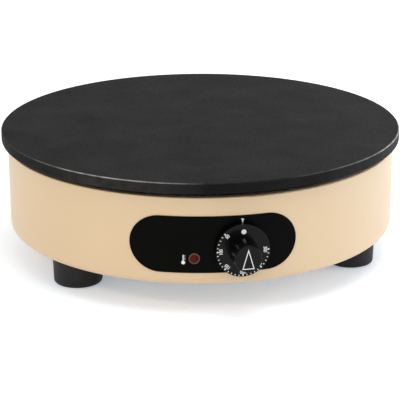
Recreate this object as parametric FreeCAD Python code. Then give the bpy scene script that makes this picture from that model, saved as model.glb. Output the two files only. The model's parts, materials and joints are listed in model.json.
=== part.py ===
"""Electric crepe maker with a round cast-iron griddle on a drawn steel casing.

Millimetres, +Z up. The origin is on the worktop, under the griddle's axis. The thermostat knob faces -Y.
Angles round the casing are in degrees from the front, positive towards +X.
"""

import FreeCAD, Part
import math
import os

V = FreeCAD.Vector
UP = V(0, 0, 1)

# Griddle
GRIDDLE_RADIUS = 200.0
GRIDDLE_TOP = 130.0
GRIDDLE_THICKNESS = 10.5
GRIDDLE_TOP_CHAMFER = 1.0
GRIDDLE_LOWER_FILLET = 1.2

# Casing, a drawn steel pan with its rim turned in
CASING_RADIUS = 194.0
CASING_FLOOR = 29.5
CASING_GAP = 5.0
CASING_WALL = 1.2
CASING_CORNER_RADIUS = 7.0
CASING_RIM_WIDTH = 6.0
CASING_RIM_FILLET = 1.1

# Cooling slots in the casing's floor
SLOT_COUNT = 12
SLOT_LENGTH = 26.0
SLOT_WIDTH = 4.0
SLOT_INSET = 102.0

# Feet, with the bolts that run up through them into the griddle
SUPPORT_INSET = 36.0
FOOT_ANGLES = {"front_left_foot": -60.0, "front_right_foot": 60.0, "rear_foot": 180.0}
FOOT_TOP_RADIUS = 24.4
FOOT_BASE_RADIUS = 23.6
FOOT_EDGE_FILLET = 3.0
FOOT_RECESS_RADIUS = 10.0
FOOT_RECESS_DEPTH = 16.0
BOLT_RADIUS = 3.0
BOLT_CLEARANCE = 0.3
BOLT_HEAD_FLATS = 10.0
BOLT_HEAD_HEIGHT = 4.0
WASHER_RADIUS = 9.0
WASHER_THICKNESS = 1.2
BOLT_THREAD_DEPTH = 8.0
BOSS_RADIUS = 10.0
BOSS_HEIGHT = 6.0
SPACER_RADIUS = 7.0
SPACER_BORE_CLEARANCE = 0.4

# Tubular heating element, two rings joined by a hairpin bend
ELEMENT_RADIUS = 4.25
ELEMENT_EDGE = 10.0
ELEMENT_RING_PITCH = 50.0
ELEMENT_SEAT_GAP = 0.05
ELEMENT_START_ANGLE = 186.0
ELEMENT_HAIRPIN_ANGLE = 168.0
ELEMENT_INNER_END_ANGLE = 192.0
ELEMENT_LEG_BEND = 12.0
ELEMENT_LEG_TAIL = 4.8
ELEMENT_WINDOW_CLEARANCE = 6.0
ELEMENT_BEAD_RADIUS = 4.0
ELEMENT_BEAD_LENGTH = 6.0
ELEMENT_BLADE_WIDTH = 6.3
ELEMENT_BLADE_THICKNESS = 0.8
ELEMENT_BLADE_LENGTH = 12.0

# Plate that clamps the element, on studs cast into the griddle
CLAMP_THICKNESS = 1.5
CLAMP_STUD_ANGLES = (0.0, 100.0, -100.0)
CLAMP_STUD_RADIUS = 3.0
CLAMP_STUD_TAIL = 8.0
CLAMP_STUD_SET_IN = 5.0
CLAMP_NUT_FLATS = 10.0
CLAMP_NUT_HEIGHT = 5.0
CLAMP_WASHER_RADIUS = 6.0
CLAMP_WASHER_THICKNESS = 1.0
HOLE_CLEARANCE = 0.5

# Insulation and the tray that holds it
INSULATION_EDGE_GAP = 1.2
INSULATION_THICKNESS = 15.0
INSULATION_GAP = 0.2
INSULATION_HOLE_CLEARANCE = 2.5
TRAY_WALL = 0.8
TRAY_EDGE_GAP = 18.8
TRAY_RIM_HEIGHT = 18.0

# Control panel, a thin curved plate on the casing
PANEL_LENGTH = 153.0
PANEL_HEIGHT = 54.6
PANEL_THICKNESS = 0.6
PANEL_CENTRE_ANGLE = -7.4
PANEL_DROP = 2.3

# Thermostat knob
KNOB_DROP = 6.6
DIAL_RADIUS = 25.2
DIAL_STANDOFF = 8.0
DIAL_DEPTH = 5.0
DIAL_WALL = 2.0
DIAL_EDGE_FILLET = 0.6
HUB_RADIUS = 7.5
HUB_REACH = 4.2
HUB_FIT = 0.05
GRIP_RADIUS = 12.5
GRIP_LENGTH = 22.5
GRIP_TAPER = 1.2
GRIP_EDGE_FILLET = 0.8
CAP_RADIUS = 11.3
CAP_THICKNESS = 1.2
CAP_SINK = 0.15
CAP_CLEARANCE = 0.05
SHAFT_RADIUS = 3.0
SHAFT_FLAT = 1.6
SHAFT_FIT = 0.06
SHAFT_REACH = 14.0
SHAFT_FLAT_SETBACK = 5.0
SHAFT_DEPTH = 13.0
KNOB_CLIP_THICKNESS = 0.5
KNOB_CLIP_WIDTH = 3.8
KNOB_CLIP_LENGTH = 12.0

# Thermostat behind the casing's wall
BUSHING_RADIUS = 5.0
BUSHING_REACH = 6.0
RUNNING_CLEARANCE = 0.3
BRACKET_GAP = 7.3
BRACKET_THICKNESS = 1.5
BRACKET_WIDTH = 42.0
BRACKET_RISE = 18.0
BRACKET_FOOT_LENGTH = 16.0
THERMOSTAT_WIDTH = 38.0
THERMOSTAT_HEIGHT = 34.0
THERMOSTAT_DEPTH = 16.0
COVER_DEPTH = 10.0
COVER_MARGIN = 2.0
COVER_WALL = 0.8
THERMOSTAT_SCREW_SPACING = 28.0
THERMOSTAT_SCREW_RADIUS = 2.0
THERMOSTAT_SCREW_HEAD_RADIUS = 3.5
THERMOSTAT_SCREW_HEAD_HEIGHT = 2.2
THERMOSTAT_SCREW_LENGTH = 8.0
SCREW_CLEARANCE = 0.3
BRACKET_SCREW_SPACING = 24.0
BRACKET_SCREW_SETBACK = 9.5
BRACKET_NUT_FLATS = 7.0
BRACKET_NUT_HEIGHT = 3.2
TAB_WIDTH = 6.3
TAB_THICKNESS = 0.8
TAB_LENGTH = 9.0
TAB_OFFSET = 12.0
TAB_DROP = 9.0
WALL_SHAFT_HOLE = 6.5

# Capillary and the bulb that feels the griddle
BULB_RADIUS = 3.0
BULB_LENGTH = 80.0
BULB_X = 30.0
SLEEVE_WALL = 1.0
SLEEVE_LENGTH = 50.0
SLEEVE_FIT = 0.2
CAPILLARY_RADIUS = 0.9
CAPILLARY_PAST_MIDDLE = 0.635764
CAPILLARY_HOLE_RADIUS = 4.5
CAPILLARY_RISE = 6.6
CAPILLARY_RUN = 50.0

# Pilot lamp
LAMP_ANGLE = -12.7
LAMP_DROP = 8.6
LAMP_BEZEL_RADIUS = 5.1
LAMP_BEZEL_THICKNESS = 1.4
LAMP_LENS_RADIUS = 4.1
LAMP_LENS_RISE = 1.4
LAMP_BODY_RADIUS = 4.0
LAMP_BODY_LENGTH = 24.0
LAMP_HOLE_CLEARANCE = 0.2
LAMP_CLIP_RADIUS = 7.0
LAMP_CLIP_THICKNESS = 0.8
LAMP_TAB_LENGTH = 6.0
LAMP_TAB_SPACING = 5.0
LAMP_TAB_WIDTH = 2.8
LAMP_TAB_THICKNESS = 0.5

# Cable gland in the rear wall
GLAND_DROP = 16.0
GLAND_CABLE_RADIUS = 4.2
GLAND_BORE_RADIUS = 5.5
GLAND_INNER_THREAD_RADIUS = 10.0
GLAND_INNER_THREAD_LENGTH = 9.0
GLAND_OUTER_THREAD_RADIUS = 9.0
GLAND_OUTER_THREAD_LENGTH = 11.0
GLAND_FLATS = 24.0
GLAND_FLANGE = 5.0
GLAND_SEAL_RADIUS = 7.0
GLAND_SEAL_LENGTH = 11.0
GLAND_SEAL_STAND_OUT = 1.5
GLAND_DOME_FLATS = 24.0
GLAND_DOME_HEX_LENGTH = 11.0
GLAND_DOME_LENGTH = 22.5
GLAND_DOME_END_RADIUS = 8.0
GLAND_DOME_GAP = 0.5
GLAND_DOME_MOUTH = 6.0
LOCKNUT_THICKNESS = 4.0
LOCKNUT_FLATS = 26.0

# Supply terminal block and the earth stud
BLOCK_SLOT_GAP = 10.0
BLOCK_LENGTH = 42.0
BLOCK_DEPTH = 20.0
BLOCK_HEIGHT = 16.0
BLOCK_POLES = 3
BLOCK_PITCH = 13.0
BLOCK_BORE_RADIUS = 2.2
BLOCK_BORE_HEIGHT = 6.0
BLOCK_SCREW_RADIUS = 2.0
BLOCK_SCREW_SINK = 2.0
BLOCK_SCREW_OFFSET = 5.0
BLOCK_FIXING_RADIUS = 1.5
BLOCK_FIXING_DEPTH = 8.0
BLOCK_FIXING_HEAD_RADIUS = 2.8
BLOCK_FIXING_HEAD_HEIGHT = 1.8
BLOCK_WIRE_DEPTH = 6.0
EARTH_X = -45.0
EARTH_STUD_RADIUS = 2.5
EARTH_STUD_HEIGHT = 16.0
EARTH_WASHER_RADIUS = 5.5
EARTH_WASHER_THICKNESS = 1.0
EARTH_NUT_FLATS = 8.0
EARTH_NUT_HEIGHT = 4.0
EARTH_TAG_WIDTH = 9.0
EARTH_TAG_LENGTH = 16.0
EARTH_TAG_THICKNESS = 1.0
EARTH_BARREL_RADIUS = 2.5
EARTH_BARREL_LENGTH = 7.0

# Internal wires
WIRE_RADIUS = 1.6
LAMP_WIRE_RADIUS = 1.1
WIRE_FIT = 0.1
BOOT_RADIUS = 4.6
BOOT_LENGTH = 14.0
BOOT_COVER = 8.0
BOOT_SLOT_CLEARANCE = 0.2

# Sizes that follow from the ones above
GRIDDLE_UNDERSIDE = GRIDDLE_TOP - GRIDDLE_THICKNESS
BOSS_UNDERSIDE = GRIDDLE_UNDERSIDE - BOSS_HEIGHT
CASING_TOP = GRIDDLE_UNDERSIDE - CASING_GAP
FLOOR_INSIDE = CASING_FLOOR + CASING_WALL
WALL_INSIDE = CASING_RADIUS - CASING_WALL
WALL_MIDDLE = (CASING_FLOOR + CASING_TOP) / 2
SUPPORT_CIRCLE_RADIUS = CASING_RADIUS - SUPPORT_INSET
SLOT_CIRCLE_RADIUS = CASING_RADIUS - SLOT_INSET
CLAMP_RADIUS = SUPPORT_CIRCLE_RADIUS - BOSS_RADIUS
ELEMENT_OUTER_RING = CLAMP_RADIUS - ELEMENT_EDGE
ELEMENT_INNER_RING = ELEMENT_OUTER_RING - ELEMENT_RING_PITCH
CLAMP_STUD_CIRCLE = (ELEMENT_OUTER_RING + ELEMENT_INNER_RING) / 2
ELEMENT_CENTRE = GRIDDLE_UNDERSIDE - ELEMENT_SEAT_GAP - ELEMENT_RADIUS
CLAMP_TOP = ELEMENT_CENTRE - ELEMENT_RADIUS - ELEMENT_SEAT_GAP
CLAMP_UNDERSIDE = CLAMP_TOP - CLAMP_THICKNESS
INSULATION_TOP = CLAMP_UNDERSIDE - INSULATION_GAP
INSULATION_UNDERSIDE = INSULATION_TOP - INSULATION_THICKNESS
TRAY_INSIDE = INSULATION_UNDERSIDE
TRAY_UNDERSIDE = TRAY_INSIDE - TRAY_WALL
TRAY_RADIUS = WALL_INSIDE - TRAY_EDGE_GAP
INSULATION_RADIUS = TRAY_RADIUS - TRAY_WALL - INSULATION_EDGE_GAP
ELEMENT_LEG_END = TRAY_UNDERSIDE - ELEMENT_LEG_TAIL
BULB_CENTRE = CLAMP_TOP + ELEMENT_SEAT_GAP + BULB_RADIUS + SLEEVE_FIT + SLEEVE_WALL
PANEL_FACE = CASING_RADIUS + PANEL_THICKNESS
PANEL_CENTRE_HEIGHT = WALL_MIDDLE - PANEL_DROP
KNOB_HEIGHT = WALL_MIDDLE - KNOB_DROP
LAMP_HEIGHT = KNOB_HEIGHT - LAMP_DROP
GLAND_HEIGHT = WALL_MIDDLE - GLAND_DROP
DIAL_FACE = CASING_RADIUS + DIAL_STANDOFF
BRACKET_FACE = WALL_INSIDE - BRACKET_GAP
BUSHING_FRONT = BRACKET_FACE + BUSHING_REACH
THERMOSTAT_FRONT = BRACKET_FACE - BRACKET_THICKNESS
THERMOSTAT_BACK = THERMOSTAT_FRONT - THERMOSTAT_DEPTH
SHAFT_FRONT = DIAL_FACE + SHAFT_REACH
SHAFT_FLAT_START = DIAL_FACE - SHAFT_FLAT_SETBACK
SHAFT_BACK = THERMOSTAT_FRONT - SHAFT_DEPTH
BRACKET_SCREW_Y = BRACKET_SCREW_SETBACK - BRACKET_FACE
CAPILLARY_HEIGHT = KNOB_HEIGHT + CAPILLARY_RISE
RING_BESIDE_BULB = math.sqrt(ELEMENT_INNER_RING**2 - BULB_X**2)
CAPILLARY_DROP_Y = -(BULB_LENGTH / 2 + RING_BESIDE_BULB) / 2 - CAPILLARY_PAST_MIDDLE
CAPILLARY_TURN_Y = CAPILLARY_RUN + COVER_DEPTH - THERMOSTAT_BACK
BLOCK_Y = SLOT_CIRCLE_RADIUS + SLOT_LENGTH / 2 + BLOCK_SLOT_GAP + BLOCK_DEPTH / 2
EARTH_Y = BLOCK_Y
BLOCK_POLE_X = [BLOCK_PITCH * (i - (BLOCK_POLES - 1) / 2) for i in range(BLOCK_POLES)]


def around(angle, radius, height=0.0):
    """The point at an angle from the front, a radius and a height."""
    a = math.radians(angle)
    return V(radius * math.sin(a), -radius * math.cos(a), height)


def rod(radius, low, high, centre=V(0, 0, 0)):
    """An upright cylinder between two heights."""
    return Part.makeCylinder(radius, high - low, V(centre.x, centre.y, low), UP)


def block(x, y, low, high, width, depth):
    """An upright box centred on x and y."""
    return Part.makeBox(width, depth, high - low, V(x - width / 2, y - depth / 2, low))


def hexagon(flats, low, high, centre=V(0, 0, 0)):
    """An upright hexagonal prism, measured across its flats."""
    corner = flats / math.sqrt(3)
    points = [
        V(centre.x + corner * math.cos(math.radians(60 * i)), centre.y + corner * math.sin(math.radians(60 * i)), low)
        for i in range(7)
    ]
    return Part.Face(Part.makePolygon(points)).extrude(V(0, 0, high - low))


def lathe(outline):
    """A solid turned about the Z axis from (radius, height) corners."""
    corners = [V(r, 0, z) for r, z in outline]
    return Part.Face(Part.makePolygon(corners + corners[:1])).revolve(V(0, 0, 0), UP, 360)


def edges_at(shape, radius, height):
    """The circular edges of a turned shape that have this radius and height."""
    near = 0.01
    return [
        e
        for e in shape.Edges
        if isinstance(e.Curve, Part.Circle)
        and abs(e.Curve.Radius - radius) < near
        and abs(e.Curve.Center.z - height) < near
    ]


def outward(shape, angle, height):
    """Stands a shape made about +Z, with its up along +Y, on the casing's wall at an angle and a height."""
    placed = shape.copy()
    placed.rotate(V(0, 0, 0), V(1, 0, 0), 90)
    placed.rotate(V(0, 0, 0), UP, angle)
    placed.translate(V(0, 0, height))
    return placed


def tube_along(points, radius):
    """A round tube along straight runs that tangent arcs join, and the radii of those arcs."""
    runs = [b - a for a, b in zip(points, points[1:])]
    edges = []
    radii = []
    here = points[0]
    for before, after, corner in zip(runs, runs[1:], points[1:]):
        half_turn = before.getAngle(after) / 2
        trim = 0.45 * min(before.Length, after.Length)
        u = V(before).normalize()
        w = V(after).normalize()
        start = corner - u * trim
        end = corner + w * trim
        inward = (w - u).normalize()
        bend = trim / math.tan(half_turn)
        middle = corner + inward * (bend / math.cos(half_turn) - bend)
        edges += [Part.LineSegment(here, start).toShape(), Part.Arc(start, middle, end).toShape()]
        radii.append(bend)
        here = end
    edges.append(Part.LineSegment(here, points[-1]).toShape())
    path = Part.Wire(edges)
    section = Part.Wire(Part.Circle(points[0], runs[0], radius).toShape())
    solid = path.makePipeShell([section], True, False)
    return solid, radii, path.Length


def support_points():
    """Where the three feet, spacers and bolts stand."""
    return [around(angle, SUPPORT_CIRCLE_RADIUS) for angle in FOOT_ANGLES.values()]


def clamp_points():
    """Where the clamp plate's studs stand."""
    return [around(angle, CLAMP_STUD_CIRCLE) for angle in CLAMP_STUD_ANGLES] + [V(0, 0, 0)]


def leg_points():
    """Where the element's two legs go down, just past the ends of its rings."""
    ends = ((ELEMENT_START_ANGLE, ELEMENT_OUTER_RING, -1), (ELEMENT_INNER_END_ANGLE, ELEMENT_INNER_RING, -1))
    return [around(angle, ring) + turning(angle) * (way * ELEMENT_LEG_BEND) for angle, ring, way in ends]


def bracket_points():
    """Where the thermostat bracket's two floor screws stand."""
    return [V(x * BRACKET_SCREW_SPACING / 2, BRACKET_SCREW_Y, 0) for x in (-1, 1)]


def block_fixing_points():
    """Where the terminal block's two fixing screws stand, between its poles."""
    return [V(x * BLOCK_PITCH / 2, BLOCK_Y, 0) for x in (-1, 1)]


def turning(angle):
    """The unit direction in which a point at this angle moves as the angle grows."""
    a = math.radians(angle)
    return V(math.cos(a), math.sin(a), 0)


def griddle_plate():
    plate = rod(GRIDDLE_RADIUS, GRIDDLE_UNDERSIDE, GRIDDLE_TOP)
    plate = plate.makeChamfer(GRIDDLE_TOP_CHAMFER, edges_at(plate, GRIDDLE_RADIUS, GRIDDLE_TOP))
    plate = plate.makeFillet(GRIDDLE_LOWER_FILLET, edges_at(plate, GRIDDLE_RADIUS, GRIDDLE_UNDERSIDE))
    for p in support_points():
        plate = plate.fuse(rod(BOSS_RADIUS, BOSS_UNDERSIDE, GRIDDLE_UNDERSIDE, p))
    for p in support_points():
        plate = plate.cut(rod(BOLT_RADIUS, BOSS_UNDERSIDE, BOSS_UNDERSIDE + BOLT_THREAD_DEPTH, p))
    for p in clamp_points():
        plate = plate.cut(rod(CLAMP_STUD_RADIUS, GRIDDLE_UNDERSIDE, GRIDDLE_UNDERSIDE + CLAMP_STUD_SET_IN, p))
    return plate.removeSplitter()


def casing():
    pan = rod(CASING_RADIUS, CASING_FLOOR, CASING_TOP)
    pan = pan.makeFillet(CASING_CORNER_RADIUS, edges_at(pan, CASING_RADIUS, CASING_FLOOR))
    pan = pan.makeFillet(CASING_RIM_FILLET, edges_at(pan, CASING_RADIUS, CASING_TOP))
    hollow = rod(WALL_INSIDE, FLOOR_INSIDE, CASING_TOP - CASING_WALL)
    hollow = hollow.makeFillet(CASING_CORNER_RADIUS - CASING_WALL, edges_at(hollow, WALL_INSIDE, FLOOR_INSIDE))
    mouth = rod(CASING_RADIUS - CASING_RIM_WIDTH, CASING_TOP - 2 * CASING_WALL, CASING_TOP)
    pan = pan.cut(hollow).cut(mouth)
    below, above = CASING_FLOOR - CASING_WALL, FLOOR_INSIDE + CASING_WALL
    tools = [rod(BOLT_RADIUS + BOLT_CLEARANCE, below, above, p) for p in support_points()]
    tools += [rod(THERMOSTAT_SCREW_RADIUS + SCREW_CLEARANCE, below, above, p) for p in bracket_points()]
    tools += [rod(BLOCK_FIXING_RADIUS + SCREW_CLEARANCE, below, above, p) for p in block_fixing_points()]
    tools.append(rod(EARTH_STUD_RADIUS, below, above, V(EARTH_X, EARTH_Y, 0)))
    straight = SLOT_LENGTH - SLOT_WIDTH
    for i in range(SLOT_COUNT):
        slot = block(0, -SLOT_CIRCLE_RADIUS, below, above, SLOT_WIDTH, straight)
        for end in (-straight / 2, straight / 2):
            slot = slot.fuse(rod(SLOT_WIDTH / 2, below, above, V(0, end - SLOT_CIRCLE_RADIUS, 0)))
        slot.rotate(V(0, 0, 0), UP, (i + 0.5) * 360 / SLOT_COUNT)
        tools.append(slot)
    tools += wall_holes()
    return pan.cut(Part.makeCompound(tools))


def wall_holes():
    """Cutters for the holes that the casing's wall and the control panel share, and the gland's hole."""
    start = CASING_RADIUS - 10 * CASING_WALL
    end = CASING_RADIUS + 10 * CASING_WALL
    return [
        outward(rod(WALL_SHAFT_HOLE, start, end), 0, KNOB_HEIGHT),
        outward(rod(LAMP_BODY_RADIUS + LAMP_HOLE_CLEARANCE, start, end), LAMP_ANGLE, LAMP_HEIGHT),
        outward(rod(GLAND_INNER_THREAD_RADIUS + LAMP_HOLE_CLEARANCE, start, end), 180, GLAND_HEIGHT),
    ]


def control_panel():
    end_radius = PANEL_HEIGHT / 2
    straight = PANEL_LENGTH - PANEL_HEIGHT
    start = CASING_RADIUS - PANEL_HEIGHT
    thick = 2 * PANEL_HEIGHT
    blank = Part.makeBox(straight, PANEL_HEIGHT, thick, V(-straight / 2, -end_radius, start))
    for x in (-straight / 2, straight / 2):
        blank = blank.fuse(rod(end_radius, start, start + thick, V(x, 0, 0)))
    blank = outward(blank.removeSplitter(), PANEL_CENTRE_ANGLE, PANEL_CENTRE_HEIGHT)
    shell = rod(PANEL_FACE, CASING_FLOOR, CASING_TOP).cut(rod(CASING_RADIUS, CASING_FLOOR, CASING_TOP))
    return shell.common(blank).cut(Part.makeCompound(wall_holes()))


def foot(angle):
    body = lathe([(0, 0), (FOOT_BASE_RADIUS, 0), (FOOT_TOP_RADIUS, CASING_FLOOR), (0, CASING_FLOOR)])
    body = body.makeFillet(FOOT_EDGE_FILLET, edges_at(body, FOOT_BASE_RADIUS, 0))
    body = body.cut(rod(FOOT_RECESS_RADIUS, 0, FOOT_RECESS_DEPTH))
    body = body.cut(rod(BOLT_RADIUS + BOLT_CLEARANCE, 0, CASING_FLOOR))
    body.translate(around(angle, SUPPORT_CIRCLE_RADIUS))
    return body


def griddle_bolts():
    seat = FOOT_RECESS_DEPTH - WASHER_THICKNESS
    end = BOSS_UNDERSIDE + BOLT_THREAD_DEPTH
    return [
        hexagon(BOLT_HEAD_FLATS, seat - BOLT_HEAD_HEIGHT, seat, p).fuse(rod(BOLT_RADIUS, seat, end, p))
        for p in support_points()
    ]


def foot_washers():
    hole = BOLT_RADIUS + BOLT_CLEARANCE
    low = FOOT_RECESS_DEPTH - WASHER_THICKNESS
    return [
        rod(WASHER_RADIUS, low, FOOT_RECESS_DEPTH, p).cut(rod(hole, low, FOOT_RECESS_DEPTH, p))
        for p in support_points()
    ]


def spacers(low, high):
    """The tubes round the three bolts that hold the griddle off the casing."""
    bore = BOLT_RADIUS + SPACER_BORE_CLEARANCE
    return [rod(SPACER_RADIUS, low, high, p).cut(rod(bore, low, high, p)) for p in support_points()]


def arc_round(radius, first, last, height):
    """Arc edges of under a half circle round the axis, from one angle to another."""
    count = math.ceil(abs(last - first) / 120)
    step = (last - first) / count
    edges = []
    for i in range(count):
        a = first + i * step
        points = [around(a + step * share, radius, height) for share in (0, 0.5, 1)]
        edges.append(Part.Arc(*points).toShape())
    return edges


def leg_edges(angle, ring, way):
    """The bend down from a ring's end and the straight leg below it, from the leg's end up to the ring."""
    tip = around(angle, ring, ELEMENT_CENTRE)
    along = turning(angle) * (way * ELEMENT_LEG_BEND)
    corner = tip + along - UP * ELEMENT_LEG_BEND
    half = math.sqrt(0.5)
    middle = tip + along * half - UP * (ELEMENT_LEG_BEND * (1 - half))
    foot_end = V(corner.x, corner.y, ELEMENT_LEG_END)
    return Part.LineSegment(foot_end, corner).toShape(), Part.Arc(corner, middle, tip).toShape(), foot_end


def heating_element():
    outer_end = ELEMENT_HAIRPIN_ANGLE - 360
    start_angle = ELEMENT_START_ANGLE - 360
    first_leg, first_bend, foot_end = leg_edges(ELEMENT_START_ANGLE, ELEMENT_OUTER_RING, -1)
    last_leg, last_bend, _ = leg_edges(ELEMENT_INNER_END_ANGLE, ELEMENT_INNER_RING, -1)
    middle_ring = (ELEMENT_OUTER_RING + ELEMENT_INNER_RING) / 2
    hairpin_radius = (ELEMENT_OUTER_RING - ELEMENT_INNER_RING) / 2
    centre = around(ELEMENT_HAIRPIN_ANGLE, middle_ring, ELEMENT_CENTRE)
    hairpin = Part.Arc(
        around(ELEMENT_HAIRPIN_ANGLE, ELEMENT_OUTER_RING, ELEMENT_CENTRE),
        centre + turning(ELEMENT_HAIRPIN_ANGLE) * hairpin_radius,
        around(ELEMENT_HAIRPIN_ANGLE, ELEMENT_INNER_RING, ELEMENT_CENTRE),
    ).toShape()
    edges = [first_leg, first_bend]
    edges += arc_round(ELEMENT_OUTER_RING, start_angle, ELEMENT_HAIRPIN_ANGLE, ELEMENT_CENTRE)
    edges.append(hairpin)
    edges += arc_round(ELEMENT_INNER_RING, ELEMENT_HAIRPIN_ANGLE, ELEMENT_INNER_END_ANGLE - 360, ELEMENT_CENTRE)
    edges += [last_bend, last_leg]
    path = Part.Wire(Part.__sortEdges__(edges))
    section = Part.Wire(Part.Circle(foot_end, UP, ELEMENT_RADIUS).toShape())
    return path.makePipeShell([section], True, False)


def element_beads():
    low = ELEMENT_LEG_END - ELEMENT_BEAD_LENGTH
    return [rod(ELEMENT_BEAD_RADIUS, low, ELEMENT_LEG_END, p) for p in leg_points()]


def element_blades():
    high = ELEMENT_LEG_END - ELEMENT_BEAD_LENGTH
    low = high - ELEMENT_BLADE_LENGTH
    return [block(p.x, p.y, low, high, ELEMENT_BLADE_WIDTH, ELEMENT_BLADE_THICKNESS) for p in leg_points()]


def through_holes(low, high, leg_clearance, clearance, stud_radius):
    """Cutters for the element's legs, the capillary and the clamp studs, in one of the flat layers."""
    tools = [rod(ELEMENT_RADIUS + leg_clearance, low, high, p) for p in leg_points()]
    tools.append(rod(CAPILLARY_HOLE_RADIUS, low, high, V(BULB_X, CAPILLARY_DROP_Y, 0)))
    tools += [rod(stud_radius + clearance, low, high, p) for p in clamp_points()]
    return tools


def clamp_plate():
    tools = through_holes(CLAMP_UNDERSIDE, CLAMP_TOP, ELEMENT_WINDOW_CLEARANCE, HOLE_CLEARANCE, CLAMP_STUD_RADIUS)
    return rod(CLAMP_RADIUS, CLAMP_UNDERSIDE, CLAMP_TOP).cut(Part.makeCompound(tools))


def clamp_studs():
    low = CLAMP_UNDERSIDE - CLAMP_STUD_TAIL
    return [rod(CLAMP_STUD_RADIUS, low, GRIDDLE_UNDERSIDE + CLAMP_STUD_SET_IN, p) for p in clamp_points()]


def clamp_washers():
    low = CLAMP_UNDERSIDE - CLAMP_WASHER_THICKNESS
    return [
        rod(CLAMP_WASHER_RADIUS, low, CLAMP_UNDERSIDE, p).cut(rod(CLAMP_STUD_RADIUS, low, CLAMP_UNDERSIDE, p))
        for p in clamp_points()
    ]


def clamp_nuts():
    high = CLAMP_UNDERSIDE - CLAMP_WASHER_THICKNESS
    low = high - CLAMP_NUT_HEIGHT
    return [
        hexagon(CLAMP_NUT_FLATS, low, high, p).cut(rod(CLAMP_STUD_RADIUS, low, high, p)) for p in clamp_points()
    ]


def insulation():
    low, high = INSULATION_UNDERSIDE, INSULATION_TOP
    gap = INSULATION_HOLE_CLEARANCE
    tools = through_holes(low, high, gap, gap, CLAMP_WASHER_RADIUS)
    tools += [rod(SPACER_RADIUS + HOLE_CLEARANCE, low, high, p) for p in support_points()]
    return rod(INSULATION_RADIUS, low, high).cut(Part.makeCompound(tools))


def insulation_tray():
    tray = rod(TRAY_RADIUS, TRAY_UNDERSIDE, TRAY_UNDERSIDE + TRAY_RIM_HEIGHT)
    tray = tray.cut(rod(TRAY_RADIUS - TRAY_WALL, TRAY_INSIDE, TRAY_UNDERSIDE + TRAY_RIM_HEIGHT))
    tools = [rod(ELEMENT_RADIUS + HOLE_CLEARANCE, TRAY_UNDERSIDE, TRAY_INSIDE, p) for p in leg_points()]
    tools.append(rod(CAPILLARY_HOLE_RADIUS, TRAY_UNDERSIDE, TRAY_INSIDE, V(BULB_X, CAPILLARY_DROP_Y, 0)))
    tools += [rod(BOLT_RADIUS + BOLT_CLEARANCE, TRAY_UNDERSIDE, TRAY_INSIDE, p) for p in support_points()]
    return tray.cut(Part.makeCompound(tools))


def knob_skirt():
    skirt = rod(DIAL_RADIUS, DIAL_FACE - DIAL_DEPTH, DIAL_FACE)
    skirt = skirt.makeFillet(DIAL_EDGE_FILLET, edges_at(skirt, DIAL_RADIUS, DIAL_FACE))
    skirt = skirt.cut(rod(DIAL_RADIUS - DIAL_WALL, DIAL_FACE - DIAL_DEPTH, DIAL_FACE - DIAL_WALL))
    skirt = skirt.cut(rod(HUB_RADIUS + HUB_FIT, DIAL_FACE - DIAL_DEPTH, DIAL_FACE))
    return outward(skirt, 0, KNOB_HEIGHT)


def flatted(radius, flat, low, high):
    """A cylinder with one flat, which faces up once it stands on the wall."""
    round_part = rod(radius, low, high)
    return round_part.cut(Part.makeBox(4 * radius, radius, high - low, V(-2 * radius, flat, low)))


def knob_grip():
    end = DIAL_FACE + GRIP_LENGTH
    grip = lathe([(0, DIAL_FACE), (GRIP_RADIUS + GRIP_TAPER, DIAL_FACE), (GRIP_RADIUS, end), (0, end)])
    grip = grip.makeFillet(GRIP_EDGE_FILLET, edges_at(grip, GRIP_RADIUS, end))
    grip = grip.fuse(rod(HUB_RADIUS, DIAL_FACE - HUB_REACH, DIAL_FACE))
    grip = grip.cut(rod(CAP_RADIUS + CAP_CLEARANCE, end - CAP_THICKNESS - CAP_SINK, end))
    socket_flat = SHAFT_FLAT + KNOB_CLIP_THICKNESS + SHAFT_FIT
    socket = flatted(SHAFT_RADIUS + SHAFT_FIT, socket_flat, DIAL_FACE - HUB_REACH, SHAFT_FRONT + SHAFT_FIT)
    return outward(grip.cut(socket).removeSplitter(), 0, KNOB_HEIGHT)


def knob_cap():
    face = DIAL_FACE + GRIP_LENGTH - CAP_SINK
    return outward(rod(CAP_RADIUS, face - CAP_THICKNESS, face), 0, KNOB_HEIGHT)


def knob_clip():
    start = SHAFT_FRONT - KNOB_CLIP_LENGTH
    y = SHAFT_FLAT + KNOB_CLIP_THICKNESS / 2
    leaf = block(0, y, start, SHAFT_FRONT, KNOB_CLIP_WIDTH, KNOB_CLIP_THICKNESS)
    return outward(leaf, 0, KNOB_HEIGHT)


def thermostat_shaft():
    shaft = rod(SHAFT_RADIUS, SHAFT_BACK, SHAFT_FLAT_START)
    shaft = shaft.fuse(flatted(SHAFT_RADIUS, SHAFT_FLAT, SHAFT_FLAT_START, SHAFT_FRONT))
    return outward(shaft.removeSplitter(), 0, KNOB_HEIGHT)


def screw_places():
    """Where the thermostat's two screws stand, seen from the front."""
    return [V(x * THERMOSTAT_SCREW_SPACING / 2, 0, 0) for x in (-1, 1)]


def thermostat_bushing():
    tube = rod(BUSHING_RADIUS, THERMOSTAT_FRONT, BUSHING_FRONT)
    bore = rod(SHAFT_RADIUS + RUNNING_CLEARANCE, THERMOSTAT_FRONT, BUSHING_FRONT)
    return outward(tube.cut(bore), 0, KNOB_HEIGHT)


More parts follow.
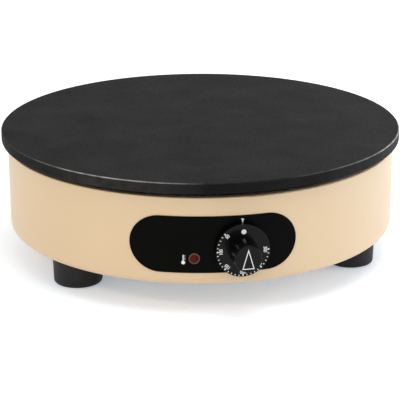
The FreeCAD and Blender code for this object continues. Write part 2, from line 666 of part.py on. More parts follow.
def thermostat_bracket():
    top = KNOB_HEIGHT + BRACKET_RISE
    plate = Part.makeBox(BRACKET_WIDTH, BRACKET_THICKNESS, top - FLOOR_INSIDE,
                         V(-BRACKET_WIDTH / 2, -BRACKET_FACE, FLOOR_INSIDE))
    flange = Part.makeBox(BRACKET_WIDTH, BRACKET_FOOT_LENGTH, BRACKET_THICKNESS,
                          V(-BRACKET_WIDTH / 2, -BRACKET_FACE, FLOOR_INSIDE))
    tools = [rod(BUSHING_RADIUS + HOLE_CLEARANCE, THERMOSTAT_FRONT, BRACKET_FACE)]
    tools += [rod(THERMOSTAT_SCREW_RADIUS + SCREW_CLEARANCE, THERMOSTAT_FRONT, BRACKET_FACE, p)
              for p in screw_places()]
    bracket = plate.fuse(flange).cut(outward(Part.makeCompound(tools), 0, KNOB_HEIGHT))
    floor_holes = [rod(THERMOSTAT_SCREW_RADIUS + SCREW_CLEARANCE, FLOOR_INSIDE, FLOOR_INSIDE + BRACKET_THICKNESS, p)
                   for p in bracket_points()]
    return bracket.cut(Part.makeCompound(floor_holes)).removeSplitter()


def thermostat_body():
    body = block(0, 0, THERMOSTAT_BACK, THERMOSTAT_FRONT, THERMOSTAT_WIDTH, THERMOSTAT_HEIGHT)
    body = body.cut(rod(SHAFT_RADIUS + RUNNING_CLEARANCE, SHAFT_BACK - RUNNING_CLEARANCE, THERMOSTAT_FRONT))
    depth = THERMOSTAT_SCREW_LENGTH - BRACKET_THICKNESS
    holes = [rod(THERMOSTAT_SCREW_RADIUS, THERMOSTAT_FRONT - depth, THERMOSTAT_FRONT, p) for p in screw_places()]
    return outward(body.cut(Part.makeCompound(holes)), 0, KNOB_HEIGHT)


def thermostat_screws():
    end = BRACKET_FACE - THERMOSTAT_SCREW_LENGTH
    screws = []
    for p in screw_places():
        screw = rod(THERMOSTAT_SCREW_RADIUS, end, BRACKET_FACE, p)
        head = rod(THERMOSTAT_SCREW_HEAD_RADIUS, BRACKET_FACE, BRACKET_FACE + THERMOSTAT_SCREW_HEAD_HEIGHT, p)
        screws.append(outward(screw.fuse(head), 0, KNOB_HEIGHT))
    return screws


def thermostat_cover():
    width = THERMOSTAT_WIDTH - 2 * COVER_MARGIN
    height = THERMOSTAT_HEIGHT - 2 * COVER_MARGIN
    back = THERMOSTAT_BACK - COVER_DEPTH
    can = block(0, 0, back, THERMOSTAT_BACK, width, height)
    can = can.cut(block(0, 0, back + COVER_WALL, THERMOSTAT_BACK, width - 2 * COVER_WALL, height - 2 * COVER_WALL))
    return outward(can, 0, KNOB_HEIGHT)


def tab_points():
    """Where the thermostat's two tabs leave its cover, the switched one first."""
    back = THERMOSTAT_BACK - COVER_DEPTH
    return [V(x * TAB_OFFSET, -back, KNOB_HEIGHT - TAB_DROP) for x in (-1, 1)]


def thermostat_tabs():
    return [
        Part.makeBox(TAB_THICKNESS, TAB_LENGTH, TAB_WIDTH, p - V(TAB_THICKNESS / 2, 0, TAB_WIDTH / 2))
        for p in tab_points()
    ]


def bracket_screws():
    top = FLOOR_INSIDE + BRACKET_THICKNESS + BRACKET_NUT_HEIGHT
    return [
        rod(THERMOSTAT_SCREW_RADIUS, CASING_FLOOR, top, p).fuse(
            rod(THERMOSTAT_SCREW_HEAD_RADIUS, CASING_FLOOR - THERMOSTAT_SCREW_HEAD_HEIGHT, CASING_FLOOR, p))
        for p in bracket_points()
    ]


def bracket_nuts():
    low = FLOOR_INSIDE + BRACKET_THICKNESS
    high = low + BRACKET_NUT_HEIGHT
    return [
        hexagon(BRACKET_NUT_FLATS, low, high, p).cut(rod(THERMOSTAT_SCREW_RADIUS, low, high, p))
        for p in bracket_points()
    ]


def thermostat_bulb():
    return Part.makeCylinder(BULB_RADIUS, BULB_LENGTH, V(BULB_X, -BULB_LENGTH / 2, BULB_CENTRE), V(0, 1, 0))


def bulb_sleeve():
    bore = BULB_RADIUS + SLEEVE_FIT
    start = V(BULB_X, -SLEEVE_LENGTH / 2, BULB_CENTRE)
    tube = Part.makeCylinder(bore + SLEEVE_WALL, SLEEVE_LENGTH, start, V(0, 1, 0))
    return tube.cut(Part.makeCylinder(bore, SLEEVE_LENGTH, start, V(0, 1, 0)))


def capillary():
    back = THERMOSTAT_BACK - COVER_DEPTH
    return tube_along([
        V(BULB_X, -BULB_LENGTH / 2, BULB_CENTRE),
        V(BULB_X, CAPILLARY_DROP_Y, BULB_CENTRE),
        V(BULB_X, CAPILLARY_DROP_Y, CAPILLARY_HEIGHT),
        V(0, CAPILLARY_TURN_Y, CAPILLARY_HEIGHT),
        V(0, -back, CAPILLARY_HEIGHT),
    ], CAPILLARY_RADIUS)


def lamp_bezel():
    top = PANEL_FACE + LAMP_BEZEL_THICKNESS
    ring = rod(LAMP_BEZEL_RADIUS, PANEL_FACE, top).cut(rod(LAMP_LENS_RADIUS, PANEL_FACE, top))
    return outward(ring, LAMP_ANGLE, LAMP_HEIGHT)


def lamp_lens():
    shoulder = PANEL_FACE + LAMP_BEZEL_THICKNESS
    lens = lathe([(0, PANEL_FACE), (LAMP_LENS_RADIUS, PANEL_FACE), (LAMP_LENS_RADIUS, shoulder),
                  (LAMP_LENS_RADIUS / 2, shoulder + LAMP_LENS_RISE), (0, shoulder + LAMP_LENS_RISE)])
    return outward(lens, LAMP_ANGLE, LAMP_HEIGHT)


def lamp_housing():
    return outward(rod(LAMP_BODY_RADIUS, PANEL_FACE - LAMP_BODY_LENGTH, PANEL_FACE), LAMP_ANGLE, LAMP_HEIGHT)


def lamp_clip():
    seat = WALL_INSIDE - sagitta(LAMP_CLIP_RADIUS)
    ring = rod(LAMP_CLIP_RADIUS, seat - LAMP_CLIP_THICKNESS, seat)
    return outward(ring.cut(rod(LAMP_BODY_RADIUS, seat - LAMP_CLIP_THICKNESS, seat)), LAMP_ANGLE, LAMP_HEIGHT)


def sagitta(half_width):
    """How far the wall's inner face has curved away at this distance to one side."""
    return WALL_INSIDE - math.sqrt(WALL_INSIDE**2 - half_width**2)


def lamp_tabs():
    start = PANEL_FACE - LAMP_BODY_LENGTH
    return [
        outward(block(0, y * LAMP_TAB_SPACING / 2, start - LAMP_TAB_LENGTH, start, LAMP_TAB_WIDTH,
                      LAMP_TAB_THICKNESS), LAMP_ANGLE, LAMP_HEIGHT)
        for y in (-1, 1)
    ]


def gland_body():
    flange_end = CASING_RADIUS + GLAND_FLANGE
    thread_end = flange_end + GLAND_OUTER_THREAD_LENGTH
    inner_end = CASING_RADIUS - GLAND_INNER_THREAD_LENGTH
    body = hexagon(GLAND_FLATS, CASING_RADIUS, flange_end)
    body = body.fuse(rod(GLAND_INNER_THREAD_RADIUS, inner_end, CASING_RADIUS))
    body = body.fuse(rod(GLAND_OUTER_THREAD_RADIUS, flange_end, thread_end))
    body = body.cut(rod(GLAND_BORE_RADIUS, inner_end, thread_end))
    body = body.cut(rod(GLAND_SEAL_RADIUS, thread_end - GLAND_SEAL_LENGTH + GLAND_SEAL_STAND_OUT, thread_end))
    return outward(body.removeSplitter(), 180, GLAND_HEIGHT)


def gland_seal():
    high = CASING_RADIUS + GLAND_FLANGE + GLAND_OUTER_THREAD_LENGTH + GLAND_SEAL_STAND_OUT
    low = high - GLAND_SEAL_LENGTH
    return outward(rod(GLAND_SEAL_RADIUS, low, high).cut(rod(GLAND_CABLE_RADIUS, low, high)), 180, GLAND_HEIGHT)


def gland_nut():
    low = CASING_RADIUS + GLAND_FLANGE + GLAND_DOME_GAP
    high = low + GLAND_DOME_LENGTH
    hex_end = low + GLAND_DOME_HEX_LENGTH
    seal_end = CASING_RADIUS + GLAND_FLANGE + GLAND_OUTER_THREAD_LENGTH + GLAND_SEAL_STAND_OUT
    outline = [(0, hex_end), (GLAND_DOME_FLATS / 2, hex_end), (GLAND_DOME_END_RADIUS, high), (0, high)]
    nut = hexagon(GLAND_DOME_FLATS, low, hex_end).fuse(lathe(outline))
    nut = nut.cut(rod(GLAND_OUTER_THREAD_RADIUS, low, seal_end)).cut(rod(GLAND_DOME_MOUTH, low, high))
    return outward(nut.removeSplitter(), 180, GLAND_HEIGHT)


def gland_locknut():
    seat = WALL_INSIDE - sagitta(LOCKNUT_FLATS / math.sqrt(3))
    ring = hexagon(LOCKNUT_FLATS, seat - LOCKNUT_THICKNESS, seat)
    ring = ring.cut(rod(GLAND_INNER_THREAD_RADIUS, seat - LOCKNUT_THICKNESS, seat))
    return outward(ring, 180, GLAND_HEIGHT)


def terminal_block():
    body = block(0, BLOCK_Y, FLOOR_INSIDE, FLOOR_INSIDE + BLOCK_HEIGHT, BLOCK_LENGTH, BLOCK_DEPTH)
    top = FLOOR_INSIDE + BLOCK_HEIGHT
    centre = FLOOR_INSIDE + BLOCK_BORE_HEIGHT
    tools = []
    for x in BLOCK_POLE_X:
        tools.append(Part.makeCylinder(BLOCK_BORE_RADIUS, BLOCK_DEPTH, V(x, BLOCK_Y - BLOCK_DEPTH / 2, centre),
                                       V(0, 1, 0)))
        for side in (-1, 1):
            tools.append(rod(BLOCK_SCREW_RADIUS, centre, top, V(x, BLOCK_Y + side * BLOCK_SCREW_OFFSET, 0)))
    for p in block_fixing_points():
        tools.append(rod(BLOCK_FIXING_RADIUS, FLOOR_INSIDE, FLOOR_INSIDE + BLOCK_FIXING_DEPTH, p))
    for tool in tools:
        body = body.cut(tool)
    return body


def block_terminal_screws():
    low = FLOOR_INSIDE + BLOCK_BORE_HEIGHT + BLOCK_BORE_RADIUS
    high = FLOOR_INSIDE + BLOCK_HEIGHT - BLOCK_SCREW_SINK
    return [
        rod(BLOCK_SCREW_RADIUS, low, high, V(x, BLOCK_Y + side * BLOCK_SCREW_OFFSET, 0))
        for x in BLOCK_POLE_X
        for side in (-1, 1)
    ]


def block_fixing_screws():
    end = FLOOR_INSIDE + BLOCK_FIXING_DEPTH
    return [
        rod(BLOCK_FIXING_RADIUS, CASING_FLOOR, end, p).fuse(
            rod(BLOCK_FIXING_HEAD_RADIUS, CASING_FLOOR - BLOCK_FIXING_HEAD_HEIGHT, CASING_FLOOR, p))
        for p in block_fixing_points()
    ]


def earth_stud():
    return rod(EARTH_STUD_RADIUS, CASING_FLOOR, FLOOR_INSIDE + EARTH_STUD_HEIGHT, V(EARTH_X, EARTH_Y, 0))


def earth_tag():
    low = FLOOR_INSIDE
    high = low + EARTH_TAG_THICKNESS
    start = EARTH_Y - EARTH_TAG_LENGTH
    p = V(EARTH_X, EARTH_Y, 0)
    tag = rod(EARTH_TAG_WIDTH / 2, low, high, p)
    tag = tag.fuse(Part.makeBox(EARTH_TAG_WIDTH, EARTH_TAG_LENGTH, EARTH_TAG_THICKNESS,
                                V(EARTH_X - EARTH_TAG_WIDTH / 2, start, low)))
    centre = low + EARTH_BARREL_RADIUS
    barrel = Part.makeCylinder(EARTH_BARREL_RADIUS, EARTH_BARREL_LENGTH, V(EARTH_X, start, centre), V(0, 1, 0))
    bore = Part.makeCylinder(WIRE_RADIUS, EARTH_BARREL_LENGTH, V(EARTH_X, start, centre), V(0, 1, 0))
    return tag.fuse(barrel).cut(bore).cut(rod(EARTH_STUD_RADIUS, low, high, p)).removeSplitter()


def earth_washer():
    low = FLOOR_INSIDE + EARTH_TAG_THICKNESS
    high = low + EARTH_WASHER_THICKNESS
    p = V(EARTH_X, EARTH_Y, 0)
    return rod(EARTH_WASHER_RADIUS, low, high, p).cut(rod(EARTH_STUD_RADIUS, low, high, p))


def earth_nut():
    low = FLOOR_INSIDE + EARTH_TAG_THICKNESS + EARTH_WASHER_THICKNESS
    high = low + EARTH_NUT_HEIGHT
    p = V(EARTH_X, EARTH_Y, 0)
    return hexagon(EARTH_NUT_FLATS, low, high, p).cut(rod(EARTH_STUD_RADIUS, low, high, p))


def wire_boots():
    """Insulating boots over the element's two blades and the thermostat's two tabs."""
    boots = []
    blade_tip = ELEMENT_LEG_END - ELEMENT_BEAD_LENGTH - ELEMENT_BLADE_LENGTH
    high = blade_tip + BOOT_COVER
    slot_width = ELEMENT_BLADE_WIDTH + BOOT_SLOT_CLEARANCE
    slot_depth = ELEMENT_BLADE_THICKNESS + BOOT_SLOT_CLEARANCE
    for p in leg_points():
        boot = rod(BOOT_RADIUS, high - BOOT_LENGTH, high, p)
        boots.append(boot.cut(block(p.x, p.y, blade_tip - BOOT_SLOT_CLEARANCE, high, slot_width, slot_depth)))
    for p in tab_points():
        tip = p.y + TAB_LENGTH
        boot = Part.makeCylinder(BOOT_RADIUS, BOOT_LENGTH, V(p.x, tip - BOOT_COVER, p.z), V(0, 1, 0))
        slot = Part.makeBox(slot_depth, BOOT_COVER + BOOT_SLOT_CLEARANCE, slot_width,
                            V(p.x - slot_depth / 2, tip - BOOT_COVER, p.z - slot_width / 2))
        boots.append(boot.cut(slot))
    return boots


def wire_ends():
    """Where wires leave the boots: outer leg, inner leg, switched tab and live tab."""
    low = ELEMENT_LEG_END - ELEMENT_BEAD_LENGTH - ELEMENT_BLADE_LENGTH + BOOT_COVER - BOOT_LENGTH
    outer, inner = [V(p.x, p.y, low) for p in leg_points()]
    switched, live = [p + V(0, TAB_LENGTH - BOOT_COVER + BOOT_LENGTH, 0) for p in tab_points()]
    return outer, inner, switched, live


def wires():
    """Every internal wire by name."""
    outer, inner, switched, live = wire_ends()
    bore = FLOOR_INSIDE + BLOCK_BORE_HEIGHT
    into = BLOCK_Y - BLOCK_DEPTH / 2 + BLOCK_WIRE_DEPTH
    earth_x, neutral_x, live_x = BLOCK_POLE_X
    pair = WIRE_RADIUS + WIRE_FIT
    lamp_pair = LAMP_WIRE_RADIUS + 2 * WIRE_FIT
    lamp_start = PANEL_FACE - LAMP_BODY_LENGTH - LAMP_TAB_LENGTH
    upper = around(LAMP_ANGLE, lamp_start, LAMP_HEIGHT + LAMP_TAB_SPACING / 2)
    lower = around(LAMP_ANGLE, lamp_start, LAMP_HEIGHT - LAMP_TAB_SPACING / 2)
    inward = around(LAMP_ANGLE, -1)
    barrel = FLOOR_INSIDE + EARTH_BARREL_RADIUS
    front = BLOCK_Y - BLOCK_DEPTH / 2
    over = FLOOR_INSIDE + BLOCK_HEIGHT + 4.3
    low = FLOOR_INSIDE + 13.3
    tag_end = EARTH_Y - EARTH_TAG_LENGTH
    routes = {
        "live_wire": ([V(live_x, into, bore), V(live_x, front - 23, bore), V(32, front - 49, low),
                       V(32, live.y + 43, low), V(live.x, live.y + 25, live.z), live], WIRE_RADIUS),
        "switched_wire": ([switched + V(lamp_pair, 0, 0), switched + V(lamp_pair, 39, 0),
                           V(-22, switched.y + 83, low + 4), V(-22, front - 65, low + 4),
                           V(inner.x, inner.y, low + 4), inner], WIRE_RADIUS),
        "neutral_wire": ([outer + V(lamp_pair, 0, 0), V(outer.x + lamp_pair, outer.y, over),
                          V(neutral_x, front - 21, over), V(neutral_x, front - 21, bore),
                          V(neutral_x, into, bore)], WIRE_RADIUS),
        "earth_wire": ([V(earth_x, into, bore), V(earth_x, front - 17, bore), V(EARTH_X, front - 29, barrel),
                        V(EARTH_X, tag_end + EARTH_BARREL_LENGTH / 2, barrel)], WIRE_RADIUS),
        "lamp_switched_wire": ([upper, upper + inward * 34, switched + V(-pair, 19, 0),
                                switched - V(pair, 0, 0)], LAMP_WIRE_RADIUS),
        "lamp_neutral_wire": ([lower, lower + inward * 26, V(-52, lower.y + 65, low + 4),
                               V(-52, front - 45, low + 6), V(-28, front - 3, over + 2),
                               V(outer.x - pair, outer.y, over), outer - V(pair, 0, 0)], LAMP_WIRE_RADIUS),
    }
    return routes


def export(name, solids):
    """Writes one node, as one solid or as a group of separate ones."""
    group = solids if isinstance(solids, list) else [solids]
    shape = group[0] if len(group) == 1 else Part.makeCompound(group)
    for s in shape.Solids:
        if not s.isValid() or s.Volume <= 0:
            print("not a valid solid:", name)
    print(f"{name}: {len(shape.Solids)} solid, {shape.Volume:.0f} mm3")
    shape.exportStep(f"parts/{name}.step")


def main():
    os.makedirs("parts", exist_ok=True)
    export("griddle_plate", griddle_plate())
    export("casing", casing())
    export("control_panel", control_panel())
    for name, angle in FOOT_ANGLES.items():
        export(name, foot(angle))
    export("griddle_bolts", griddle_bolts())
    export("foot_washers", foot_washers())
    export("lower_spacers", spacers(FLOOR_INSIDE, TRAY_UNDERSIDE))
    export("upper_spacers", spacers(TRAY_INSIDE, BOSS_UNDERSIDE))
    export("heating_element", heating_element())
    parts = [
        element_beads, element_blades, clamp_plate, clamp_studs, clamp_washers, clamp_nuts, insulation,
        insulation_tray, knob_skirt, knob_grip, knob_cap, knob_clip, thermostat_shaft, thermostat_bushing,
        thermostat_bracket, thermostat_body, thermostat_screws, thermostat_cover, thermostat_tabs, bracket_screws,
        bracket_nuts, thermostat_bulb, bulb_sleeve, lamp_bezel, lamp_lens, lamp_housing, lamp_clip, lamp_tabs,
        gland_body, gland_seal, gland_nut, gland_locknut, terminal_block, block_terminal_screws,
        block_fixing_screws, earth_stud, earth_tag, earth_washer, earth_nut, wire_boots,
    ]
    for make in parts:
        export(make.__name__, make())
    tube, bends, length = capillary()
    print("capillary bends", [round(b, 1) for b in bends], "length", round(length))
    export("capillary", tube)
    for name, (points, radius) in wires().items():
        tube, bends, length = tube_along(points, radius)
        print(name, "bends", [round(b, 1) for b in bends], "length", round(length))
        export(name, tube)


main()
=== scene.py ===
"""Looks of the electric crepe maker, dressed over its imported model.

Lengths are in metres, or in millimetres in flat drawings and where a name ends in _MM or _mm. Named angles are in
degrees.
"""

import bpy
import json
import math
from mathutils import Matrix, Vector


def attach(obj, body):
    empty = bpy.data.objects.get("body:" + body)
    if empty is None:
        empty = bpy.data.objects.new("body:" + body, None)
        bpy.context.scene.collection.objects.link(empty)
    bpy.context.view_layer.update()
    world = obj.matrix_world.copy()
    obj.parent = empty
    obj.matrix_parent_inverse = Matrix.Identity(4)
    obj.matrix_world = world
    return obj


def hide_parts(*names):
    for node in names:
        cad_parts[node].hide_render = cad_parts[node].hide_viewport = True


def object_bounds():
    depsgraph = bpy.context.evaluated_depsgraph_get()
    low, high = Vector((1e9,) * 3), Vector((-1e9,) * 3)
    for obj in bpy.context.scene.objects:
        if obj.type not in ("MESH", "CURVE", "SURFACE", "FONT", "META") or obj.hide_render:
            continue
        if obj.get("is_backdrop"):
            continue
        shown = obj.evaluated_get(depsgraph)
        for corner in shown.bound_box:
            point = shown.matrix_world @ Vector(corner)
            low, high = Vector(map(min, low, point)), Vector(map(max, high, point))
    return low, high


MM = 0.001

# Where the knob, the panel and the lamp are, as in the solids
KNOB_CENTRE_Z_MM = 65.4
SKIRT_FACE_MM = 202.0
CAP_FACE_MM = 224.35
PANEL_FACE_MM = 194.6
LAMP_ANGLE = -12.7
LAMP_HEIGHT_MM = 56.8
LAMP_BEZEL_TOP_MM = 1.4
LAMP_LENS_RADIUS_MM = 4.1

# The lens: how far it stays inside its bore, its sides, and each row of facets as its radius, its height and
# whether it is turned by half a side
LENS_CLEARANCE_MM = 0.05
LENS_SIDES = 12
LENS_FACETS_MM = ((3.3, 2.0, 1), (2.2, 2.5, 0), (1.1, 2.75, 1))

# The wear and painted highlight on the griddle's top chamfer: it comes in over a short way outwards and upwards, the
# side below has a share of it, it is patchy, and from left to right it is strong where the ramp is pale, which paints
# the highlight at the left of the front and at the right
CHAMFER_RADIUS_MM = 199.0
WEAR_AND_HIGHLIGHT_OUTWARDS_MM = (CHAMFER_RADIUS_MM - 0.3, CHAMFER_RADIUS_MM + 0.1)
WEAR_AND_HIGHLIGHT_FOOT_MM = 129.1
WEAR_AND_HIGHLIGHT_UPWARDS_MM = (WEAR_AND_HIGHLIGHT_FOOT_MM, WEAR_AND_HIGHLIGHT_FOOT_MM + 0.2)
WEAR_AND_HIGHLIGHT_OF_SIDE = 0.06
WEAR_AND_HIGHLIGHT_OF_POOR_PATCH = 0.5
WEAR_AND_HIGHLIGHT_PATCH_MM = 9
WEAR_AND_HIGHLIGHT_PATCH_RANGE = (0.38, 0.6)
# The pale stops paint a highlight on the chamfer at the left of the front and at the right.
PAINTED_HIGHLIGHT_ALONG = (
    (0.0, "#404040"),
    (0.08, "#909090"),
    (0.16, "#FFFFFF"),
    (0.3, "#D0D0D0"),
    (0.42, "#303030"),
    (0.6, "#101010"),
    (0.8, "#A0A0A0"),
    (0.92, "#FFFFFF"),
    (1.0, "#FFFFFF"),
)

# White ink of the scale and the signs
INK_SINK_MM = 0.02
INK_RISE_MM = 0.04

# How many straight steps a drawn circle and a bar's half-round end have
DISC_SIDES = 32
BAR_END_STEPS = 8

# The scale on the skirt: 50 to 300 in steps of 10, an eighth of a turn for each 50
SCALE_TURN = 45.0
SCALE_STEPS = 5
SCALE_NUMBERS = (50, 100, 150, 200, 250, 300)
TICK_OUTER_MM = 24.5
TICK_LENGTH_MM = 1.5
TICK_WIDTH_MM = 0.75
MAJOR_TICK_WIDTH_MM = 1.3
MAJOR_TICK_LENGTH_MM = 2.0
NUMBER_RADIUS_MM = 20.4
NUMBER_SIZE_MM = 4.6
NUMBER_BOLDNESS_MM = 0.1
NUMBER_SPACING = 0.92
NUMBER_NARROWING = 0.88
NUMBER_CURVE_STEPS = 3
OFF_DOT_RADIUS_MM = 2.3
OFF_DOT_PLACE_MM = 18.2
OFF_DOT_SHIFT_MM = 0.6

# The pointer on the grip's cap
POINTER_APEX_MM = 9.6
POINTER_BASE_MM = -9.6
POINTER_HALF_WIDTH_MM = 5.6
POINTER_LINE_MM = 0.75

# The index above the knob: a triangle that stands on its tip
INDEX_ANGLE = 0.3
INDEX_TIP_MM = 89.0
INDEX_HEIGHT_MM = 4.8
INDEX_HALF_WIDTH_MM = 1.3

# The thermometer sign beside the lamp, with its sizes measured from its foot and its middle
SIGN_ANGLE = -15.7
SIGN_FOOT_MM = 50.6
SIGN_STEM_WIDTH_MM = 0.9
SIGN_STEM_MM = (2.2, 9.5)
SIGN_BULB_RADIUS_MM = 1.75
SIGN_BULB_HEIGHT_MM = 1.95
SIGN_MARKS_MM = (4.6, 5.9, 7.2, 8.5)
SIGN_MARK_REACH_MM = (1.0, 1.9)
SIGN_MARK_WIDTH_MM = 0.4

# The floor, and how much paler it and its shadow look than the light on them makes them
FLOOR_HALF_SIZE = 6.0
FLOOR_DROP = 0.0002
SHADOW_LIFT = 0.371

# The white room: how strongly it lights the object, and how bright it is seen, where 1 is white
ROOM_LIGHT = 0.7
ROOM_SEEN = 1.0

# The studio's square lamps: name, place, side, power in watts and colour. All point at one place.
STUDIO_LAMPS = (
    ("overhead_box", (0.1, -0.5, 1.6), 0.9, 7.0, "#FFFFFF"),
    ("right_box", (1.25, -0.25, 0.3), 0.45, 3.4, "#DDE8FF"),
    ("edge_lamp", (1.3, -0.1, 0.5), 0.12, 1.0, "#FFFFFF"),
    ("rear_box", (0.8, 0.75, 0.42), 0.35, 2.2, "#F4F7FF"),
    ("left_lamp", (-1.3, -1.0, 1.3), 0.25, 5.5, "#FFE8CA"),
)
LAMPS_AIM = Vector((0, 0, 0.07))

# The camera stands where the photograph was taken from
CAMERA_AZIMUTH = -11.0
CAMERA_PITCH = 18.76
CAMERA_ROLL = -0.15
CAMERA_DISTANCE = 1.63045
CAMERA_TARGET = Vector((-0.00046, 0.00009, 0.04679))
CAMERA_SENSOR_MM = 36.0
CAMERA_LENS_MM = 142.74

# The values that noise mostly lies between, and how rough it is where nothing else is said
NOISE_LOW = 0.3
NOISE_HIGH = 0.7
NOISE_ROUGHNESS = 0.6


def linear(code, alpha=1.0):
    """A hex colour as screens show it, turned into linear light."""
    parts = [int(code[i : i + 2], 16) / 255 for i in (1, 3, 5)]
    return [p / 12.92 if p <= 0.04045 else ((p + 0.055) / 1.055) ** 2.4 for p in parts] + [alpha]


def per_mm(size):
    """The texture scale at which one feature of a pattern is this many millimetres."""
    return 1000.0 / size


def add(tree, kind, inputs=None, stops=(), **settings):
    """Adds a node with its settings, and a value or a link for each of its inputs.

    A node given as an input is linked by its first output. Stops are a ramp's colours, as (place, hex) pairs.
    """
    node = tree.nodes.new(kind)
    for name, value in settings.items():
        setattr(node, name, value)
    for name, value in (inputs or {}).items():
        if isinstance(value, bpy.types.Node):
            value = value.outputs[0]
        if isinstance(value, bpy.types.NodeSocket):
            tree.links.new(value, node.inputs[name])
        else:
            node.inputs[name].default_value = value
    for number, (at, code) in enumerate(stops):
        elements = node.color_ramp.elements
        stop = elements[number] if number < len(elements) else elements.new(at)
        stop.position = at
        stop.color = linear(code)
    return node


def blank(name):
    """An empty material, its nodes, and the place on the object that its patterns follow."""
    material = bpy.data.materials.new(name)
    material.use_nodes = True
    tree = material.node_tree
    tree.nodes.clear()
    return material, tree, add(tree, "ShaderNodeTexCoord").outputs["Object"]


def shades(tree, place, size_mm, stops, detail=3, rough=NOISE_ROUGHNESS):
    """The close shades of a finish, in clouds of this many millimetres."""
    pattern = {"Vector": place, "Scale": per_mm(size_mm), "Detail": detail, "Roughness": rough}
    clouds = add(tree, "ShaderNodeTexNoise", pattern)
    return add(tree, "ShaderNodeValToRGB", {"Fac": clouds}, stops)


def tool_marks(tree, place, size_mm, gloss, relief_mm, strength, detail=3):
    """The marks that the making leaves on a surface: its roughness, between two values, and its relief."""
    pattern = {"Vector": place, "Scale": per_mm(size_mm), "Detail": detail, "Roughness": NOISE_ROUGHNESS}
    marks = add(tree, "ShaderNodeTexNoise", pattern)
    low, high = gloss
    span = {"Value": marks, "From Min": NOISE_LOW, "From Max": NOISE_HIGH, "To Min": low, "To Max": high}
    roughness = add(tree, "ShaderNodeMapRange", span)
    relief = add(tree, "ShaderNodeBump", {"Height": marks, "Distance": relief_mm * MM, "Strength": strength})
    return roughness, relief


def rubbed_edge(tree, place):
    """How far the griddle's edge is painted bright, partly as wear and partly as a painted highlight: most on the
    chamfer, at the left of the front and at the right.
    """
    axes = add(tree, "ShaderNodeSeparateXYZ", {0: place})
    flat = add(tree, "ShaderNodeCombineXYZ", {0: axes.outputs["X"], 1: axes.outputs["Y"]})
    radius = add(tree, "ShaderNodeVectorMath", {0: flat}, operation="LENGTH").outputs["Value"]
    pattern = {"Vector": place, "Scale": per_mm(WEAR_AND_HIGHLIGHT_PATCH_MM), "Detail": 2, "Roughness": NOISE_ROUGHNESS}
    patches = add(tree, "ShaderNodeTexNoise", pattern)
    spans = (
        (radius, [mm * MM for mm in WEAR_AND_HIGHLIGHT_OUTWARDS_MM], 0.0, 1.0),
        (axes.outputs["Z"], [mm * MM for mm in WEAR_AND_HIGHLIGHT_UPWARDS_MM], WEAR_AND_HIGHLIGHT_OF_SIDE, 1.0),
        (axes.outputs["X"], (-CHAMFER_RADIUS_MM * MM, CHAMFER_RADIUS_MM * MM), 0.0, 1.0),
        (patches, WEAR_AND_HIGHLIGHT_PATCH_RANGE, WEAR_AND_HIGHLIGHT_OF_POOR_PATCH, 1.0),
    )
    amount, upwards, across, patchy = (
        add(
            tree,
            "ShaderNodeMapRange",
            {"Value": value, "From Min": start, "From Max": end, "To Min": low, "To Max": high},
        )
        for value, (start, end), low, high in spans
    )
    along = add(tree, "ShaderNodeValToRGB", {"Fac": across}, PAINTED_HIGHLIGHT_ALONG)
    for factor in (upwards, along, patchy):
        amount = add(tree, "ShaderNodeMath", {0: amount, 1: factor}, operation="MULTIPLY")
    return amount


def ground_cast_iron():
    # Cast iron, turned flat and seasoned with oil: near black, dull, with a fine leathery grit, and painted brighter
    # along the chamfer, partly as wear where the scraper leaves the plate and partly as a painted highlight. The grit
    # is drawn coarser than it is, so that it shows. The baked oil over the iron isn't a metal, so the plate has the
    # oil's
    # IOR, and is metallic only along the worn and painted-bright edge.
    material, tree, place = blank("ground_cast_iron")
    worn_and_highlit = rubbed_edge(tree, place)
    bared_and_highlit = add(tree, "ShaderNodeMapRange", {"Value": worn_and_highlit, "From Min": 0, "From Max": 1, "To Min": 0, "To Max": 0.7})
    seasoned = shades(tree, place, 45, ((0.32, "#121213"), (0.68, "#202021")), detail=7, rough=0.62)
    roughness, relief = tool_marks(tree, place, 2.2, (0.6, 0.8), 0.16, 0.6)
    # The pale colour along the chamfer is partly bare worn iron and partly a painted highlight.
    colour = add(tree, "ShaderNodeMix", {0: worn_and_highlit, 6: seasoned, 7: linear("#ABA9A6")}, data_type="RGBA")
    shader = add(
        tree,
        "ShaderNodeBsdfPrincipled",
        {
            "Base Color": colour.outputs[2],
            "Roughness": roughness,
            "Normal": relief,
            "Metallic": bared_and_highlit,
            "IOR": 1.45,
            "Specular IOR Level": 0.08,
        },
    )
    add(tree, "ShaderNodeOutputMaterial", {"Surface": shader})
    return material


def baked_enamel():
    # Steel sheet with a beige baked enamel, sprayed: warm, even, softly shiny, with a slight orange peel.
    material, tree, place = blank("baked_enamel")
    roughness, relief = tool_marks(tree, place, 2.6, (0.36, 0.44), 0.02, 0.4, detail=1)
    shader = add(
        tree,
        "ShaderNodeBsdfPrincipled",
        {
            "Base Color": shades(tree, place, 160, ((0.3, "#E0C59F"), (0.7, "#E3C9A4")), detail=2),
            "Roughness": roughness,
            "Normal": relief,
            "IOR": 1.5,
            "Specular IOR Level": 0.6,
        },
    )
    add(tree, "ShaderNodeOutputMaterial", {"Surface": shader})
    return material


def moulded(name, low, high, gloss, texture_mm, relief_mm, ior=1.5, shine=0.5):
    """A moulded plastic or rubber: two close shades, and the fine texture of its mould.

    The texture is drawn coarser than a mould's, so that it shows.
    """
    material, tree, place = blank(name)
    roughness, relief = tool_marks(tree, place, texture_mm, (gloss - 0.04, gloss + 0.06), relief_mm, 0.5, detail=2)
    shader = add(
        tree,
        "ShaderNodeBsdfPrincipled",
        {
            "Base Color": shades(tree, place, 12, ((NOISE_LOW, low), (NOISE_HIGH, high))),
            "Roughness": roughness,
            "Normal": relief,
            "IOR": ior,
            "Specular IOR Level": shine,
        },
    )
    add(tree, "ShaderNodeOutputMaterial", {"Surface": shader})
    return material


